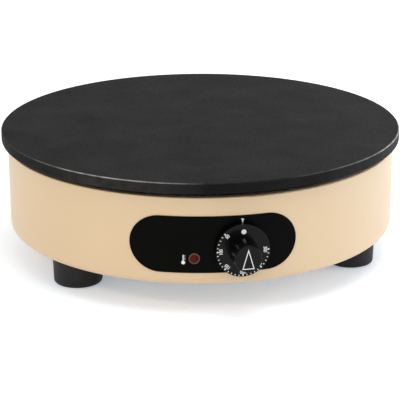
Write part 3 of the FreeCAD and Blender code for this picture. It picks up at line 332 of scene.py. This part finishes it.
def worked_metal(name, low, high, gloss, grain_mm, stretch=None, relief_mm=0.01):
    """A bare or plated metal: two close shades, and the marks of how it was rolled, drawn or turned.

    The marks are drawn coarser than they are, so that they show.
    """
    material, tree, place = blank(name)
    along = add(tree, "ShaderNodeMapping", {"Vector": place, "Scale": stretch}) if stretch else place
    roughness, relief = tool_marks(tree, along, grain_mm, (gloss - 0.07, gloss + 0.1), relief_mm, 0.4)
    shader = add(
        tree,
        "ShaderNodeBsdfPrincipled",
        {
            "Base Color": shades(tree, place, 25, ((NOISE_LOW, low), (NOISE_HIGH, high)), detail=4),
            "Roughness": roughness,
            "Normal": relief,
            "Metallic": 1.0,
        },
    )
    add(tree, "ShaderNodeOutputMaterial", {"Surface": shader})
    return material


def ceramic_fibre():
    # Ceramic fibre board, pressed: white, dull, with tangled fibres that catch the light. The fibres are drawn far
    # coarser than they are, so that they show.
    material, tree, place = blank("ceramic_fibre")
    tangled = add(tree, "ShaderNodeMapping", {"Vector": place, "Scale": (1, 3, 8)})
    pattern = {"Vector": tangled, "Scale": per_mm(0.9), "Detail": 6, "Roughness": 0.75}
    fibres = add(tree, "ShaderNodeTexNoise", pattern)
    pattern = {"Vector": place, "Scale": per_mm(9), "Detail": 4, "Roughness": NOISE_ROUGHNESS}
    lumps = add(tree, "ShaderNodeTexNoise", pattern)
    swells = add(tree, "ShaderNodeBump", {"Height": lumps, "Distance": 0.6 * MM, "Strength": 0.6})
    fibred = {"Height": fibres, "Distance": 0.35 * MM, "Strength": 0.8, "Normal": swells}
    shader = add(
        tree,
        "ShaderNodeBsdfPrincipled",
        {
            "Base Color": add(tree, "ShaderNodeValToRGB", {"Fac": lumps}, ((0.3, "#D9D6CB"), (0.7, "#EFEDE6"))),
            "Roughness": 0.95,
            "Normal": add(tree, "ShaderNodeBump", fibred),
            "Sheen Weight": 0.2,
        },
    )
    add(tree, "ShaderNodeOutputMaterial", {"Surface": shader})
    return material


def glazed_steatite():
    # Steatite, pressed and glazed: creamy white, glossy, with a few iron specks.
    material, tree, place = blank("glazed_steatite")
    shader = add(
        tree,
        "ShaderNodeBsdfPrincipled",
        {
            "Base Color": shades(tree, place, 0.5, ((0.6, "#EEE9DC"), (0.75, "#B7A88E")), detail=1),
            "Roughness": 0.12,
            "IOR": 1.55,
        },
    )
    add(tree, "ShaderNodeOutputMaterial", {"Surface": shader})
    return material


def amber_polycarbonate():
    # Polycarbonate, moulded clear amber: dark while the lamp behind is off, with bright edges on its facets.
    material, tree, place = blank("amber_polycarbonate")
    shader = add(
        tree,
        "ShaderNodeBsdfPrincipled",
        {
            "Base Color": shades(tree, place, 1.6, ((0.35, "#240501"), (0.65, "#6A1C06")), detail=2),
            "Roughness": 0.12,
            "IOR": 1.58,
            "Specular IOR Level": 0.06,
        },
    )
    add(tree, "ShaderNodeOutputMaterial", {"Surface": shader})
    return material


def striped_silicone(name, ground, stripe):
    # Silicone sleeve, extruded in two colours: soft, dull stripes along the wire.
    material, tree, place = blank(name)
    waves = {"Vector": place, "Scale": per_mm(9), "Distortion": 0.4, "Detail": 1.0}
    bands = add(tree, "ShaderNodeTexWave", waves, bands_direction="DIAGONAL").outputs["Fac"]
    pattern = {"Vector": place, "Scale": per_mm(0.5), "Detail": 3, "Roughness": NOISE_ROUGHNESS}
    texture = add(tree, "ShaderNodeTexNoise", pattern)
    shader = add(
        tree,
        "ShaderNodeBsdfPrincipled",
        {
            "Base Color": add(tree, "ShaderNodeValToRGB", {"Fac": bands}, ((0.55, ground), (0.62, stripe))),
            "Roughness": 0.6,
            "Normal": add(tree, "ShaderNodeBump", {"Height": texture, "Distance": 0.02 * MM, "Strength": 0.4}),
        },
    )
    add(tree, "ShaderNodeOutputMaterial", {"Surface": shader})
    return material


def printing_ink():
    # Screen-printing ink, white: dense, dull, with slightly uneven cover.
    material, tree, place = blank("white_printing_ink")
    pattern = {"Vector": place, "Scale": per_mm(0.5), "Detail": 3, "Roughness": NOISE_ROUGHNESS}
    cover = add(tree, "ShaderNodeTexNoise", pattern)
    shader = add(
        tree,
        "ShaderNodeBsdfPrincipled",
        {
            "Base Color": add(tree, "ShaderNodeValToRGB", {"Fac": cover}, ((0.3, "#E6E7E6"), (0.7, "#F7F7F6"))),
            "Roughness": 0.55,
            "Normal": add(tree, "ShaderNodeBump", {"Height": cover, "Distance": 0.01 * MM, "Strength": 0.3}),
        },
    )
    add(tree, "ShaderNodeOutputMaterial", {"Surface": shader})
    return material


def finishes():
    """The material of each slot in the record."""
    # Zinc plate, tumbled: cool grey with a faint blue cast, mid gloss.
    zinc = worked_metal("zinc_plated_steel", "#B4B8BC", "#C9CCCE", 0.33, 0.8)
    # Polycarbonate film, back-printed black with a fine matt face: deep, even black.
    panel = moulded("printed_polycarbonate", "#050504", "#070706", 0.34, 0.6, 0.006, 1.55, 0.03)
    # Phenolic, moulded in a polished tool: black, with soft highlights on its rounded edges.
    knob = moulded("moulded_phenolic", "#050505", "#080808", 0.18, 0.7, 0.006, 1.6, 0.11)
    # Nitrile rubber, moulded: charcoal black, dull, with a fine tool texture.
    foot = moulded("moulded_nitrile_rubber", "#1A1A1B", "#212122", 0.55, 0.7, 0.02, 1.5, 0.25)
    return {
        "cast_iron_plate": ground_cast_iron(),
        "casing_enamel": baked_enamel(),
        "panel_plastic": panel,
        "foot_rubber": foot,
        "zinc_steel": zinc,
        # Spring steel, rolled and blued: dark blue-grey, smooth along the strip.
        "spring_steel": worked_metal("blued_spring_steel", "#3A414B", "#525861", 0.28, 0.6, (1, 8, 1)),
        # Stainless tube, drawn, then tinted straw and brown by heat.
        "element_sheath": worked_metal("heat_tinted_stainless", "#5E5145", "#857A6B", 0.4, 1.2, (1, 1, 4)),
        "white_ceramic": glazed_steatite(),
        # Brass, stamped and tinned: pale warm grey with soft edges.
        "blade_metal": worked_metal("tinned_brass", "#B9AF96", "#D0C8B4", 0.3, 0.7),
        "ceramic_wool": ceramic_fibre(),
        # Aluminium sheet, mill finish: rolled lines one way, bright but not mirror-like.
        "tray_aluminium": worked_metal("rolled_aluminium", "#C6C9CC", "#D9DBDD", 0.34, 1.5, (1, 12, 1)),
        "knob_plastic": knob,
        # Brass, turned: yellow, with fine rings from the tool.
        "brass_fitting": worked_metal("turned_brass", "#C9A45A", "#DDBE7B", 0.25, 0.5, (1, 10, 1)),
        # Copper tube, drawn: pinkish, slightly dulled.
        "copper_tube": worked_metal("drawn_copper", "#B5704C", "#D08E68", 0.3, 0.8, (1, 1, 5)),
        # Phenolic, moulded with mineral filler: brown, half matt, finely mottled.
        "thermostat_resin": moulded("filled_phenolic", "#38241A", "#4A3122", 0.45, 0.5, 0.02, 1.6),
        # Steel sheet, pressed and zinc plated.
        "thermostat_can": worked_metal("pressed_zinc_steel", "#AEB2B5", "#C6C8C9", 0.36, 1.0, (1, 6, 1)),
        # Polyamide, moulded: dark brown-grey, a little shiny.
        "lamp_bezel_plastic": moulded("moulded_brown_polyamide", "#5A4138", "#684C42", 0.3, 0.5, 0.01, 1.5, 0.2),
        "lamp_lens_plastic": amber_polycarbonate(),
        # Polyamide, moulded black: half matt with a faint glass-fibre texture.
        "gland_nylon": moulded("moulded_black_polyamide", "#141415", "#1C1C1D", 0.42, 0.6, 0.015),
        # Chloroprene rubber, moulded: black and dull.
        "seal_rubber": moulded("moulded_chloroprene", "#131313", "#1A1A1A", 0.7, 0.8, 0.02),
        # Polyamide, moulded natural: milky white, slightly waxy.
        "block_nylon": moulded("natural_polyamide", "#D9D8CC", "#E6E5DA", 0.4, 0.6, 0.01),
        # Silicone rubber, moulded: translucent milk white, dull.
        "boot_sleeve": moulded("milky_silicone", "#CFCBBF", "#DDD9CE", 0.55, 0.6, 0.02, 1.41),
        # Silicone sleeves, extruded: soft, dull and evenly coloured.
        "live_wire_sleeve": moulded("brown_silicone", "#54301A", "#633A21", 0.55, 0.6, 0.02, 1.41),
        "switched_wire_sleeve": moulded("black_silicone", "#121212", "#1B1B1B", 0.55, 0.6, 0.02, 1.41),
        "neutral_wire_sleeve": moulded("blue_silicone", "#1E4C94", "#2A5BA6", 0.55, 0.6, 0.02, 1.41),
        "earth_wire_sleeve": striped_silicone("green_and_yellow_silicone", "#3F8B34", "#DCC93A"),
    }


def on_skirt(u, v, h):
    """A place on the skirt's face: right and up from the knob's axis, and out from the face, in millimetres."""
    return Vector((u, -SKIRT_FACE_MM - h, KNOB_CENTRE_Z_MM + v)) * MM


def on_cap(u, v, h):
    """A place on the grip's cap."""
    return Vector((u, -CAP_FACE_MM - h, KNOB_CENTRE_Z_MM + v)) * MM


def on_panel(angle, height):
    """The function that wraps a flat drawing round the panel, from an angle and a height."""

    def place(u, v, h):
        turn = math.radians(angle) + u / PANEL_FACE_MM
        out = PANEL_FACE_MM + h
        return Vector((out * math.sin(turn), -out * math.cos(turn), height + v)) * MM

    return place


def turned(points, degrees):
    """Points turned anticlockwise about the drawing's middle, as seen from the front."""
    a = math.radians(degrees)
    return [(u * math.cos(a) - v * math.sin(a), u * math.sin(a) + v * math.cos(a)) for u, v in points]


def disc(radius, u=0.0, v=0.0):
    """A round outline."""
    turns = [2 * math.pi * i / DISC_SIDES for i in range(DISC_SIDES)]
    return [(u + radius * math.cos(a), v + radius * math.sin(a)) for a in turns]


def rounded_bar(width, low, high):
    """The outline of an upright bar with half-round ends."""
    r = width / 2
    turns = [math.pi * i / BAR_END_STEPS for i in range(BAR_END_STEPS + 1)]
    top = [(r * math.cos(a), high - r + r * math.sin(a)) for a in turns]
    foot = [(-r * math.cos(a), low + r - r * math.sin(a)) for a in turns]
    return top + foot


def inset(corners, distance):
    """The corners of a convex outline, drawn in by the same distance from every side."""
    count = len(corners)
    lines = []
    for i in range(count):
        (au, av), (bu, bv) = corners[i], corners[(i + 1) % count]
        length = math.hypot(bu - au, bv - av)
        nu, nv = -(bv - av) / length, (bu - au) / length
        lines.append((nu, nv, nu * au + nv * av + distance))
    result = []
    for i in range(count):
        (a, b, c), (d, e, f) = lines[i - 1], lines[i]
        share = a * e - b * d
        result.append(((c * e - b * f) / share, (a * f - c * d) / share))
    return result


def object_of(name, verts, faces, material):
    """A mesh in the scene, with its finish."""
    mesh = bpy.data.meshes.new(name)
    mesh.from_pydata(verts, [], faces)
    mesh.validate()
    mesh.materials.append(material)
    piece = bpy.data.objects.new(name, mesh)
    bpy.context.scene.collection.objects.link(piece)
    return piece


def printed(name, drawings, place, ink):
    """Thin closed patches of ink, one for each drawn outline; a pair of outlines is an outer and an inner one."""
    verts, faces = [], []
    for drawing in drawings:
        rings = drawing if isinstance(drawing, tuple) else (drawing,)
        start = len(verts)
        count = len(rings[0])
        for ring in rings:
            for h in (INK_RISE_MM, -INK_SINK_MM):
                verts += [place(u, v, h) for u, v in ring]
        top = [start + i for i in range(count)]
        low = [start + count + i for i in range(count)]
        following = [(i, (i + 1) % count) for i in range(count)]
        faces += [(low[i], low[j], top[j], top[i]) for i, j in following]
        if len(rings) == 1:
            faces += [tuple(top), tuple(reversed(low))]
        else:
            top_in = [start + 2 * count + i for i in range(count)]
            low_in = [start + 3 * count + i for i in range(count)]
            faces += [(top[i], top[j], top_in[j], top_in[i]) for i, j in following]
            faces += [(low[j], low[i], low_in[i], low_in[j]) for i, j in following]
            faces += [(low_in[j], low_in[i], top_in[i], top_in[j]) for i, j in following]
    return object_of(name, verts, faces, ink)


def lettered(name, words, place, ink):
    """Numbers, each centred at a radius and turned round the scale, as one mesh."""
    verts, faces = [], []
    for text, radius, degrees in words:
        curve = bpy.data.curves.new(name, "FONT")
        curve.body = text
        curve.size = NUMBER_SIZE_MM
        curve.align_x = "CENTER"
        curve.align_y = "CENTER"
        curve.space_character = NUMBER_SPACING
        curve.offset = NUMBER_BOLDNESS_MM
        curve.resolution_u = NUMBER_CURVE_STEPS
        curve.extrude = (INK_RISE_MM + INK_SINK_MM) / 2
        holder = bpy.data.objects.new(name, curve)
        bpy.context.scene.collection.objects.link(holder)
        mesh = bpy.data.meshes.new_from_object(holder.evaluated_get(bpy.context.evaluated_depsgraph_get()))
        start = len(verts)
        middle = (INK_RISE_MM - INK_SINK_MM) / 2
        for vertex in mesh.vertices:
            u, v = turned([(NUMBER_NARROWING * vertex.co.x, vertex.co.y + radius)], degrees)[0]
            verts.append(place(u, v, middle + vertex.co.z))
        faces += [tuple(start + i for i in polygon.vertices) for polygon in mesh.polygons]
        bpy.data.objects.remove(holder)
        bpy.data.curves.remove(curve)
        bpy.data.meshes.remove(mesh)
    return object_of(name, verts, faces, ink)


def knob_printing(ink):
    """The scale, its numbers, the off dot and the pointer: all turn with the knob."""
    ticks = []
    for step in range(len(SCALE_NUMBERS) * SCALE_STEPS - SCALE_STEPS + 1):
        major = step % SCALE_STEPS == 0
        width = MAJOR_TICK_WIDTH_MM if major else TICK_WIDTH_MM
        length = MAJOR_TICK_LENGTH_MM if major else TICK_LENGTH_MM
        bar = rounded_bar(width, TICK_OUTER_MM - length, TICK_OUTER_MM)
        ticks.append(turned(bar, SCALE_TURN * (1 + step / SCALE_STEPS)))
    numbers = [(str(n), NUMBER_RADIUS_MM, SCALE_TURN * (i + 1)) for i, n in enumerate(SCALE_NUMBERS)]
    left = (-POINTER_HALF_WIDTH_MM, POINTER_BASE_MM)
    right = (POINTER_HALF_WIDTH_MM, POINTER_BASE_MM)
    outer = [(0, POINTER_APEX_MM), left, right]
    pieces = [
        printed("scale_ticks", ticks, on_skirt, ink),
        lettered("scale_numbers", numbers, on_skirt, ink),
        printed("off_dot", [disc(OFF_DOT_RADIUS_MM, OFF_DOT_SHIFT_MM, OFF_DOT_PLACE_MM)], on_skirt, ink),
        printed("pointer_outline", [(outer, inset(outer, POINTER_LINE_MM))], on_cap, ink),
    ]
    for piece in pieces:
        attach(piece, "knob")


def panel_printing(ink):
    """The index above the knob and the thermometer sign beside the lamp."""
    index = [(-INDEX_HALF_WIDTH_MM, INDEX_HEIGHT_MM), (0, 0), (INDEX_HALF_WIDTH_MM, INDEX_HEIGHT_MM)]
    stem = rounded_bar(SIGN_STEM_WIDTH_MM, *SIGN_STEM_MM)
    bulb = disc(SIGN_BULB_RADIUS_MM, 0, SIGN_BULB_HEIGHT_MM)
    near, far = SIGN_MARK_REACH_MM
    marks = [
        [(near, v), (far, v), (far, v + SIGN_MARK_WIDTH_MM), (near, v + SIGN_MARK_WIDTH_MM)] for v in SIGN_MARKS_MM
    ]
    pieces = [
        printed("index_mark", [index], on_panel(INDEX_ANGLE, INDEX_TIP_MM), ink),
        printed("thermometer_sign", [stem, bulb] + marks, on_panel(SIGN_ANGLE, SIGN_FOOT_MM), ink),
    ]
    for piece in pieces:
        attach(piece, "cooker")


def faceted_lens(material):
    """The pilot lamp's lens, with three rows of facets that sparkle round a flat top."""
    wall = LAMP_LENS_RADIUS_MM - LENS_CLEARANCE_MM
    rows = ((wall, 0.0, 0), (wall, LAMP_BEZEL_TOP_MM, 0), *LENS_FACETS_MM)
    place = on_panel(LAMP_ANGLE, LAMP_HEIGHT_MM)
    verts, faces = [], []
    for radius, height, shift in rows:
        for i in range(LENS_SIDES):
            a = 2 * math.pi * (i + shift / 2) / LENS_SIDES
            verts.append(place(radius * math.cos(a), radius * math.sin(a), height))
    for row in range(len(rows) - 1):
        lean = rows[row + 1][2] - rows[row][2]
        for i in range(LENS_SIDES):
            a, b = row * LENS_SIDES + i, row * LENS_SIDES + (i + 1) % LENS_SIDES
            c, d = a + LENS_SIDES, b + LENS_SIDES
            if lean == 0:
                faces.append((a, b, d, c))
            elif lean > 0:
                faces += [(a, b, c), (b, d, c)]
            else:
                faces += [(a, b, d), (a, d, c)]
    faces.append(tuple(range(LENS_SIDES))[::-1])
    faces.append(tuple(range((len(rows) - 1) * LENS_SIDES, len(rows) * LENS_SIDES)))
    lens = object_of("faceted_lamp_lens", verts, faces, material)
    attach(lens, "cooker")
    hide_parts("lamp_lens")


def dress_solids(frame, made):
    """Every solid that stays visible gets its slot's material."""
    for part in frame["record"]["subparts"]:
        solid = frame["nodes"][part["node"]]
        material = made[part["material_slot"]]
        if not solid.material_slots:
            solid.data.materials.append(material)
        for slot in solid.material_slots:
            slot.material = material


def background_rays(tree):
    """1 for the rays that show the background: the camera's own, and those that metal or glass sends on."""
    path = add(tree, "ShaderNodeLightPath")
    total = path.outputs["Is Camera Ray"]
    for name in ("Is Glossy Ray", "Is Transmission Ray"):
        total = add(tree, "ShaderNodeMath", {0: total, 1: path.outputs[name]}, operation="ADD", use_clamp=True)
    return total


def studio_floor():
    # Studio paper on a light table, white and matt: it keeps a pale soft shadow, and its glow is only seen.
    material, tree, place = blank("white_studio_paper")
    fibres = shades(tree, place, 4, ((0.3, "#FBFBFB"), (0.7, "#FEFEFE")))
    paper = add(tree, "ShaderNodeBsdfDiffuse", {"Color": fibres})
    lift = add(tree, "ShaderNodeMath", {0: background_rays(tree), 1: SHADOW_LIFT}, operation="MULTIPLY")
    glow = add(tree, "ShaderNodeEmission", {"Color": linear("#D7ECFF"), "Strength": lift})
    lit_paper = add(tree, "ShaderNodeAddShader", {0: paper, 1: glow})
    add(tree, "ShaderNodeOutputMaterial", {"Surface": lit_paper})
    signs = ((-1, -1), (1, -1), (1, 1), (-1, 1))
    corners = [(x * FLOOR_HALF_SIZE, y * FLOOR_HALF_SIZE, -FLOOR_DROP) for x, y in signs]
    floor = object_of("studio_floor", corners, [(0, 1, 2, 3)], material)
    floor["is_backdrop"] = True


def studio_light():
    """A white room, boxes above, at the right and behind, and two small lamps that leave the glints."""
    world = bpy.data.worlds.new("studio")
    bpy.context.scene.world = world
    world.use_nodes = True
    tree = world.node_tree
    tree.nodes.clear()
    room = add(tree, "ShaderNodeBackground", {"Color": linear("#FFFFFF"), "Strength": ROOM_LIGHT})
    seen = add(tree, "ShaderNodeBackground", {"Color": linear("#FFFFFF"), "Strength": ROOM_SEEN})
    walls = add(tree, "ShaderNodeMixShader", {0: background_rays(tree), 1: room, 2: seen})
    add(tree, "ShaderNodeOutputWorld", {"Surface": walls})
    for name, at, size, power, colour in STUDIO_LAMPS:
        soft_box(name, at, size, power, colour)


def soft_box(name, at, size, power, colour):
    """A square lamp that points at the object."""
    lamp = bpy.data.lights.new(name, "AREA")
    lamp.shape = "SQUARE"
    lamp.size = size
    lamp.energy = power
    lamp.color = linear(colour)[:3]
    holder = bpy.data.objects.new(name, lamp)
    holder.location = at
    holder.rotation_euler = (LAMPS_AIM - Vector(at)).to_track_quat("-Z", "Y").to_euler()
    bpy.context.scene.collection.objects.link(holder)


def studio_camera():
    """The camera, aimed by its own angles so that the object stands in the frame as in the photograph."""
    a, p, r = (math.radians(x) for x in (CAMERA_AZIMUTH, CAMERA_PITCH, CAMERA_ROLL))
    forward = Vector((-math.sin(a) * math.cos(p), math.cos(a) * math.cos(p), -math.sin(p)))
    right = Vector((math.cos(a), math.sin(a), 0))
    up = right.cross(forward)
    right, up = right * math.cos(r) + up * math.sin(r), up * math.cos(r) - right * math.sin(r)
    lens = bpy.data.cameras.new("studio_camera")
    lens.sensor_width = CAMERA_SENSOR_MM
    lens.lens = CAMERA_LENS_MM
    camera = bpy.data.objects.new("studio_camera", lens)
    turn = Matrix((right, up, -forward)).transposed()
    camera.matrix_world = Matrix.Translation(CAMERA_TARGET - forward * CAMERA_DISTANCE) @ turn.to_4x4()
    bpy.context.scene.collection.objects.link(camera)
    bpy.context.scene.camera = camera


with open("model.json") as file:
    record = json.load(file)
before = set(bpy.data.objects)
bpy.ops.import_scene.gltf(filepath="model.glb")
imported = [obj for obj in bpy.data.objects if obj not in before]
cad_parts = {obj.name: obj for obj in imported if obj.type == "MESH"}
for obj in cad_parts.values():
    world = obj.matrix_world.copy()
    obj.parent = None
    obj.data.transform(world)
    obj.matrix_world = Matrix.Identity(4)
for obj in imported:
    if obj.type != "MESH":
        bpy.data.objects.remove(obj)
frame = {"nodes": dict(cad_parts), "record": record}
solid_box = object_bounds()
bpy.context.scene.view_settings.view_transform = "Standard"
made = finishes()
dress_solids(frame, made)
white_ink = printing_ink()
knob_printing(white_ink)
panel_printing(white_ink)
faceted_lens(made["lamp_lens_plastic"])
studio_floor()
studio_light()
studio_camera()
boxes = {"cad": solid_box, "visual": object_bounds()}
{name: [list(corner) for corner in box] for name, box in boxes.items()}
